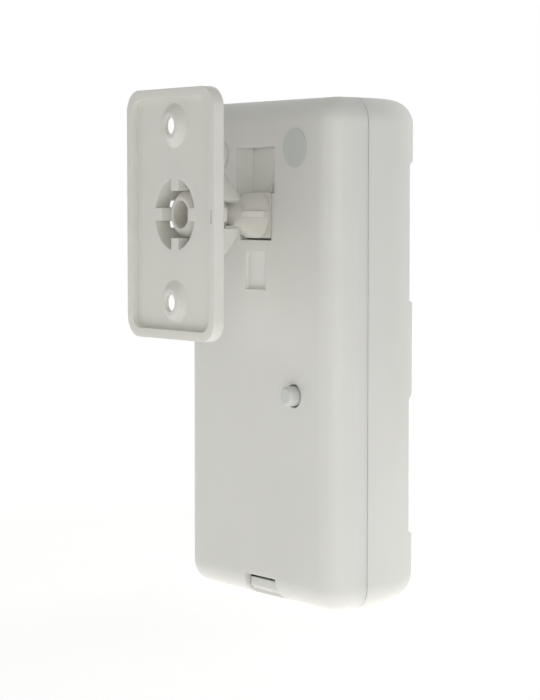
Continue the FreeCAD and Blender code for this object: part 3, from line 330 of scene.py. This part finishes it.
# %% Circuit board
MASK_DARK = (0.015, 0.11, 0.04, 1)
MASK_PALE = (0.018, 0.13, 0.05, 1)
TRACK_GREEN = (0.03, 0.19, 0.08, 1)
TRACKS_PER_METRE = 260.0


def board_laminate():
    """Green solder mask with the faint ridges of the copper tracks under it."""
    material, tree, shader = new_finish("board_laminate", Roughness=0.28)
    place = add_node(tree, "ShaderNodeTexCoord")
    turn = add_node(tree, "ShaderNodeMapping", Rotation=(math.radians(90), 0, 0))
    tracks = add_node(tree, "ShaderNodeTexBrick", offset=0.5, Scale=TRACKS_PER_METRE,
                      Mortar_Size=0.06, Color1=MASK_DARK, Color2=MASK_PALE, Mortar=TRACK_GREEN)
    bump = add_node(tree, "ShaderNodeBump", Strength=0.4, Distance=0.03 * MM)
    join(tree, place, "Object", turn, "Vector")
    join(tree, turn, "Vector", tracks, "Vector")
    join(tree, tracks, "Color", shader, "Base Color")
    join(tree, tracks, "Fac", bump, "Height")
    join(tree, bump, "Normal", shader, "Normal")
    return material


laminate = board_laminate()
print("board:", laminate.name)

# %% [markdown]
# Dyed resin and filter glass
# The lamp is red resin, the light rod is clear, and the sensors look out through dark filter panes.
# Transmission lets light through the first two. The panes are black to sight, so theirs is zero.


# %% Dyed resin and filter glass
def glassy(name, colour, roughness, transmission):
    """Dyed resin or filter glass."""
    material, tree, shader = new_finish(name, Roughness=roughness, IOR=1.49)
    shader.inputs["Transmission Weight"].default_value = transmission
    place = drift(tree, shader, colour, 0.03, 3 * MM)
    grain(tree, shader, place, 0.8 * MM, 0.001 * MM)
    return material


dark_pane = glassy("dark_filter_glass", (0.03, 0.03, 0.035), 0.08, transmission=0.0)
red_resin = glassy("red_lamp_resin", (0.7, 0.06, 0.05), 0.12, transmission=0.5)
clear_rod = glassy("clear_light_rod", (0.86, 0.88, 0.88), 0.08, transmission=0.55)
print("see-through finishes:", [m.name for m in (dark_pane, red_resin, clear_rod)])

# %% [markdown]
# Cell sleeve and sticker
# The cell has a shrunk sleeve, shinier and smoother than a moulding.
# The round sticker is a plain grey-green film with no rounded edge, because it is so thin.

# %% Cell sleeve and sticker
sleeve = moulded("cell_sleeve", (0.03, 0.07, 0.2), 0.25, edge=0.3 * MM, grain_size=1 * MM)
sticker = moulded("label_film", (0.61, 0.635, 0.6), 0.38, edge=0, grain_size=0.2 * MM)
print("films:", sleeve.name, sticker.name)

# %% [markdown]
# Each solid gets its finish
# The model's record names a material slot for every solid, so one table from slot to finish
# dresses them all. The arm is a moulding of its own, in a white a little darker than the plate's.

# %% Each solid gets its finish
finishes = {
    "case_plastic": case_white,
    "bracket_plastic": bracket_white,
    "button_plastic": button_white,
    "frame_plastic": frame_grey,
    "black_plastic": black_moulding,
    "lens_plastic": milky,
    "board_laminate": laminate,
    "tinned_metal": tinned,
    "contact_metal": nickel,
    "wire_enamel": enamelled_wire,
    "filter_glass": dark_pane,
    "light_resin": red_resin,
    "clear_rod": clear_rod,
    "cell_sleeve": sleeve,
    "label_film": sticker,
}
slot_of = {part["node"]: part["material_slot"] for part in frame["record"]["subparts"]}
for name, thing in nodes.items():
    thing.data.materials.clear()
    thing.data.materials.append(arm_white if name == "ball_arm" else finishes[slot_of[name]])
print("finishes given to", len(nodes), "solids")

# %% [markdown]
# Where the window films go
# A window film is a curved sheet with a flange round it. The flange hides behind the case,
# and the pane inside it stands further out and fills the window.
# The solid from the model already has the right curve,
# so we measure its circle from two points and don't type the numbers again.

# %% Where the window films go
FILM_THICKNESS = 0.8 * MM
FLANGE_REACH = 1.4 * MM
FLANGE_DROP = 1.95 * MM
PANE_CLEARANCE = 0.15 * MM


def measure_film(name):
    """Axis, radius and half angle of a pane, from the circle through two of its front points."""
    points = [nodes[name].matrix_world @ vertex.co for vertex in nodes[name].data.vertices]
    half_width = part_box(name)[1][0] - FLANGE_REACH - PANE_CLEARANCE
    at_side = [point for point in points if abs(abs(point.x) - half_width) < PANE_CLEARANCE / 2]
    side = min(at_side, key=lambda point: point.y)
    front = min(points, key=lambda point: point.y)
    squares = side.x ** 2 + side.y ** 2 - front.x ** 2 - front.y ** 2
    axis = squares / (2 * (side.y - front.y))
    radius = math.hypot(side.x, side.y - axis)
    return axis, radius, math.asin(half_width / radius)


AXIS_Y, PANE_RADIUS, PANE_HALF_ANGLE = measure_film("upper_lens")
FLANGE_RADIUS = PANE_RADIUS - FLANGE_DROP
print("film radius in mm:", round(PANE_RADIUS / MM, 2), "axis:", round(AXIS_Y / MM, 2))

# %% [markdown]
# The curved sheet
# The sheet could be bent from a flat grid, but a spin gives the exact circle straight away:
# an upright line of points turns about the case's axis and leaves faces behind it.
# The points stand where the borders of the facets will be.

# %% The curved sheet
FLANGE_STEPS = 3
PANE_STEPS = 36
STEP_ANGLE = 2 * PANE_HALF_ANGLE / PANE_STEPS


def upright_line(bm, heights):
    """A line of points up one side of the film, ready to be spun."""
    start = -PANE_HALF_ANGLE - FLANGE_STEPS * STEP_ANGLE
    x = FLANGE_RADIUS * math.sin(start)
    y = AXIS_Y - FLANGE_RADIUS * math.cos(start)
    points = [bm.verts.new((x, y, z)) for z in heights]
    for lower, upper in zip(points, points[1:]):
        bm.edges.new((lower, upper))


def curved_sheet(bm, heights):
    """Spin the line into a curved sheet whose faces look outwards."""
    upright_line(bm, heights)
    count = PANE_STEPS + 2 * FLANGE_STEPS
    bmesh.ops.spin(bm, geom=bm.verts[:] + bm.edges[:], cent=(0, AXIS_Y, 0), axis=(0, 0, 1),
                   angle=STEP_ANGLE * count, steps=count, use_merge=False)
    bm.faces.ensure_lookup_table()
    middle = bm.faces[len(bm.faces) // 2]
    middle.normal_update()
    if middle.normal.y > 0:
        bmesh.ops.reverse_faces(bm, faces=bm.faces[:])


print("steps round the sheet:", PANE_STEPS + 2 * FLANGE_STEPS)

# %% [markdown]
# The raised pane
# The part of the sheet that fills the window stands out from the flange.
# We extrude its faces and then scale the new points away from the axis,
# which keeps them on a circle.


# %% The raised pane
def angle_of(point):
    """How far round the case's centre a point lies, with the front at zero."""
    return math.atan2(point.x, AXIS_Y - point.y)


def raise_pane(bm, low, high):
    """Push the part of the sheet that fills the window out to the window's own radius."""
    def inside(face):
        centre = face.calc_center_median()
        return abs(angle_of(centre)) < PANE_HALF_ANGLE and low < centre.z < high

    faces = [face for face in bm.faces if inside(face)]
    raised = bmesh.ops.extrude_face_region(bm, geom=faces)
    bmesh.ops.delete(bm, geom=faces, context="FACES_ONLY")
    verts = [item for item in raised["geom"] if isinstance(item, bmesh.types.BMVert)]
    grow = PANE_RADIUS / FLANGE_RADIUS
    to_axis = Matrix.Translation((0, -AXIS_Y, 0))
    bmesh.ops.scale(bm, verts=verts, vec=(grow, grow, 1), space=to_axis)
    return [item for item in raised["geom"] if isinstance(item, bmesh.types.BMFace)]


print("the pane stands out by", round(FLANGE_DROP / MM, 2), "mm")

# %% [markdown]
# Facets
# Rows of small lenses bend the heat from different places onto the sensor:
# nine narrow ones on top for far away, six below them, and three wide ones for close by.
# We inset each facet and sink it a little, so that the borders stand between them as fine ridges.

# %% Facets
FACET_ROWS = ((0.42, 9), (0.33, 6), (0.25, 3))
BORDER_WIDTH = 0.13 * MM
FACET_DEPTH = 0.07 * MM


def row_borders(low, high):
    """Heights of the borders between the rows of facets, from the top down."""
    borders = [high]
    for share, _ in FACET_ROWS:
        borders.append(borders[-1] - share * (high - low))
    return borders


def sink_facet(bm, faces, bottom, top, left, right):
    """Inset and sink the faces of one facet."""
    def inside(face):
        centre = face.calc_center_median()
        return bottom < centre.z < top and left < angle_of(centre) < right

    facet = [face for face in faces if inside(face)]
    bmesh.ops.inset_region(bm, faces=facet, thickness=BORDER_WIDTH, depth=-FACET_DEPTH,
                           use_boundary=True, use_even_offset=True)


def sink_facets(bm, faces, borders):
    """Sink every facet, row by row from the top."""
    for (_, columns), top, bottom in zip(FACET_ROWS, borders, borders[1:]):
        width = 2 * PANE_HALF_ANGLE / columns
        for column in range(columns):
            left = -PANE_HALF_ANGLE + column * width
            sink_facet(bm, faces, bottom, top, left, left + width)


print("facets in a window:", sum(columns for _, columns in FACET_ROWS))

# %% [markdown]
# Two films in place
# Each film takes the height of its plain solid and replaces it.
# The sheet has no thickness yet, so a Solidify modifier gives it one, inwards,
# and the outside stays where we measured it.


# %% Two films in place
def film_mesh(name, low, high):
    """The faceted sheet between two heights, as a mesh."""
    pane_low = low + FLANGE_REACH + PANE_CLEARANCE
    pane_high = high - FLANGE_REACH - PANE_CLEARANCE
    borders = row_borders(pane_low, pane_high)
    bm = bmesh.new()
    curved_sheet(bm, [low] + sorted(borders) + [high])
    faces = raise_pane(bm, pane_low, pane_high)
    sink_facets(bm, faces, borders)
    mesh = bpy.data.meshes.new(name)
    bm.to_mesh(mesh)
    bm.free()
    mesh.shade_smooth()
    mesh.materials.append(milky)
    return mesh


def window_film(name, node):
    """One faceted film in the place of its plain solid."""
    low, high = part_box(node)[0][2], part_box(node)[1][2]
    film = bpy.data.objects.new(name, film_mesh(name, low, high))
    bpy.context.collection.objects.link(film)
    wall = film.modifiers.new("film_thickness", "SOLIDIFY")
    wall.thickness = FILM_THICKNESS
    wall.offset = -1
    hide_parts(node)
    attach(film, "detector")
    return film


upper_film = window_film("upper_window_film", "upper_lens")
lower_film = window_film("lower_window_film", "lower_lens")
for film in (upper_film, lower_film):
    print(film.name, "faces:", len(film.data.polygons))

# %% [markdown]
# White for the camera, grey for the lamps
# A floor bright enough to look white would throw too much light on the case.
# The Light Path node tells the rays apart: those of the camera, of gloss and of clear plastic
# find white, and all other light finds a dimmer floor.


# %% White for the camera, grey for the lamps
def white_rays(tree):
    """One for the rays of the camera, of gloss and of clear plastic, and zero for other light."""
    path = add_node(tree, "ShaderNodeLightPath")
    seen, output = path, "Is Camera Ray"
    for kind in ("Is Glossy Ray", "Is Transmission Ray"):
        either = add_node(tree, "ShaderNodeMath", operation="MAXIMUM")
        join(tree, seen, output, either, 0)
        join(tree, path, kind, either, 1)
        seen, output = either, 0
    return seen


print("rays that find white: camera, glossy, transmission")

# %% [markdown]
# How the floor's light changes with distance
# Seen by the camera, the floor glows a little less close by, so the object's shadow stays visible.
# For other light it glows most in a ring about 12 cm from the object, like a lamp's pool on a table.
# That ring is what brightens the lower half of the case from below.

# %% How the floor's light changes with distance
POOL_RADIUS = 300 * MM
POOL_PROFILE = ((0.12, 0), (0.4, 1), (0.95, 0))
FLOOR_POOL = 0.88
FLOOR_BOUNCE = 0.13
GLOW_FROM, GLOW_TO = 0.5, 1.5
GLOW_NEAR, GLOW_FAR = 0.56, 0.66


def distance_share(tree):
    """Each point's distance from the middle of the floor, as a share of the pool's radius."""
    place = add_node(tree, "ShaderNodeTexCoord")
    distance = add_node(tree, "ShaderNodeVectorMath", operation="LENGTH")
    share = add_node(tree, "ShaderNodeMath", operation="DIVIDE")
    share.inputs[1].default_value = POOL_RADIUS
    join(tree, place, "Object", distance, 0)
    join(tree, distance, "Value", share, 0)
    return share


def camera_glow(tree, share):
    """The glow that the camera sees, a little stronger far away."""
    brighten = add_node(tree, "ShaderNodeMapRange", From_Min=GLOW_FROM, From_Max=GLOW_TO,
                        To_Min=GLOW_NEAR, To_Max=GLOW_FAR)
    glow = add_node(tree, "ShaderNodeEmission")
    join(tree, share, 0, brighten, "Value")
    join(tree, brighten, "Result", glow, "Strength")
    return glow


def pool_glow(tree, share):
    """The light that the floor throws on the object, brightest in a ring round it."""
    pool = add_node(tree, "ShaderNodeValToRGB")
    for stop in pool.color_ramp.elements:
        stop.color = (0, 0, 0, 1)
    for position, level in POOL_PROFILE:
        pool.color_ramp.elements.new(position).color = (level, level, level, 1)
    strength = add_node(tree, "ShaderNodeMath", operation="MULTIPLY_ADD")
    strength.inputs[1].default_value = FLOOR_POOL
    strength.inputs[2].default_value = FLOOR_BOUNCE
    bounce = add_node(tree, "ShaderNodeEmission")
    join(tree, share, 0, pool, "Fac")
    join(tree, pool, "Color", strength, 0)
    join(tree, strength, 0, bounce, "Strength")
    return bounce


print("the pool of light reaches", round(POOL_RADIUS / MM), "mm")

# %% [markdown]
# The floor
# A wide disc lies under the case. Its edge is so far away that it runs into the backdrop.
# A matt shader keeps the object's shadow, and the two glows are added to it.

# %% The floor
FLOOR_RADIUS = 6
FLOOR_COLOUR = (0.9, 0.9, 0.89, 1)
floor_height = cad_box[0][2]


def floor_finish():
    """A pale matt floor that the camera sees as white outside the shadow."""
    material = bpy.data.materials.new("pale_floor")
    tree = blank_tree(material)
    output = add_node(tree, "ShaderNodeOutputMaterial")
    matt = add_node(tree, "ShaderNodeBsdfDiffuse", Color=FLOOR_COLOUR)
    share = distance_share(tree)
    choose = add_node(tree, "ShaderNodeMixShader")
    total = add_node(tree, "ShaderNodeAddShader")
    join(tree, white_rays(tree), 0, choose, 0)
    join(tree, pool_glow(tree, share), 0, choose, 1)
    join(tree, camera_glow(tree, share), 0, choose, 2)
    join(tree, matt, 0, total, 0)
    join(tree, choose, 0, total, 1)
    join(tree, total, 0, output, "Surface")
    return material


def make_floor():
    """A wide disc at the height of the lowest point of the case."""
    mesh = bpy.data.meshes.new("studio_floor")
    bm = bmesh.new()
    bmesh.ops.create_circle(bm, cap_ends=True, radius=FLOOR_RADIUS, segments=64)
    bmesh.ops.translate(bm, verts=bm.verts, vec=(0, 0, floor_height))
    bm.to_mesh(mesh)
    bm.free()
    mesh.materials.append(floor_finish())
    floor = bpy.data.objects.new("studio_floor", mesh)
    bpy.context.collection.objects.link(floor)
    return floor


floor = make_floor()
print("floor at", round(floor_height, 4))

# %% [markdown]
# The room
# The world is the room round the object: dark at the horizon and dim overhead for the lamps' light,
# and white for the camera. A backdrop would do as well, but the world needs no geometry.

# %% The room
WHITE = (1, 1, 1, 1)
ROOM_OVERHEAD = 0.6


def make_world():
    """A dim room that is brightest overhead, seen as white by the camera."""
    world = bpy.data.worlds.new("studio_room")
    bpy.context.scene.world = world
    tree = blank_tree(world)
    output = add_node(tree, "ShaderNodeOutputWorld")
    direction = add_node(tree, "ShaderNodeTexCoord")
    split = add_node(tree, "ShaderNodeSeparateXYZ")
    fade = add_node(tree, "ShaderNodeMapRange", To_Max=ROOM_OVERHEAD)
    dim = add_node(tree, "ShaderNodeBackground", Color=WHITE)
    white = add_node(tree, "ShaderNodeBackground", Color=WHITE, Strength=1.0)
    choose = add_node(tree, "ShaderNodeMixShader")
    join(tree, direction, "Generated", split, 0)
    join(tree, split, "Z", fade, "Value")
    join(tree, fade, 0, dim, "Strength")
    join(tree, white_rays(tree), 0, choose, 0)
    join(tree, dim, 0, choose, 1)
    join(tree, white, 0, choose, 2)
    join(tree, choose, 0, output, "Surface")
    return world


room = make_world()
print("room:", room.name)

# %% [markdown]
# Soft lamps
# Three soft square lamps stand round the object and aim at it.
# The fill lamp stands on the camera's side and lights the back, the front lamp keeps the windows
# readable, and the corner lamp lifts the far side. All are weak, so that the pale plastic keeps its
# colour and doesn't burn out to white.

# %% Soft lamps
AIM = Vector((0, -0.03, -0.03))
LAMPS = (
    ("corner_softbox", (-0.7, -0.6, 0.05), 0.6, 0.6),
    ("front_softbox", (0.2, -1.0, 0.4), 0.8, 1.5),
    ("fill_softbox", (-0.75, 0.52, -0.02), 0.4, 2.3),
)


def softbox(name, place, width, power):
    """A soft square lamp aimed at the detector."""
    lamp = bpy.data.lights.new(name, "AREA")
    lamp.shape = "RECTANGLE"
    lamp.size = lamp.size_y = width
    lamp.energy = power
    holder = bpy.data.objects.new(name, lamp)
    bpy.context.collection.objects.link(holder)
    holder.location = place
    holder.rotation_euler = (AIM - Vector(place)).to_track_quat("-Z", "Y").to_euler()
    holder.visible_camera = False


for lamp in LAMPS:
    softbox(*lamp)
print("lamps:", len(LAMPS))

# %% [markdown]
# Camera
# The camera stands where the photograph was taken: behind the detector and a little to its left,
# barely above the middle, with a long lens that keeps the case's sides almost parallel.

# %% Camera
AZIMUTH = math.radians(54.155)
ELEVATION = math.radians(3.844)
CAMERA_PLACE = (-0.3781, 0.24744, 0.0022)
SENSOR_HEIGHT = 36
FOCAL_LENGTH = 111.96


def look_from(azimuth, elevation):
    """The direction from the object to the camera."""
    level = math.cos(elevation)
    return Vector((-math.sin(azimuth) * level, math.cos(azimuth) * level, math.sin(elevation)))


lens = bpy.data.cameras.new("photo_camera")
lens.sensor_fit = "VERTICAL"
lens.sensor_height = SENSOR_HEIGHT
lens.lens = FOCAL_LENGTH
lens.clip_start = 10 * MM
camera = bpy.data.objects.new("photo_camera", lens)
bpy.context.collection.objects.link(camera)
camera.location = CAMERA_PLACE
backwards = look_from(AZIMUTH, ELEVATION)
camera.rotation_euler = (-backwards).to_track_quat("-Z", "Y").to_euler()
bpy.context.scene.camera = camera
bpy.context.scene.view_settings.view_transform = "Standard"
print("camera at", [round(v, 3) for v in camera.location])

# %% Finish
import json
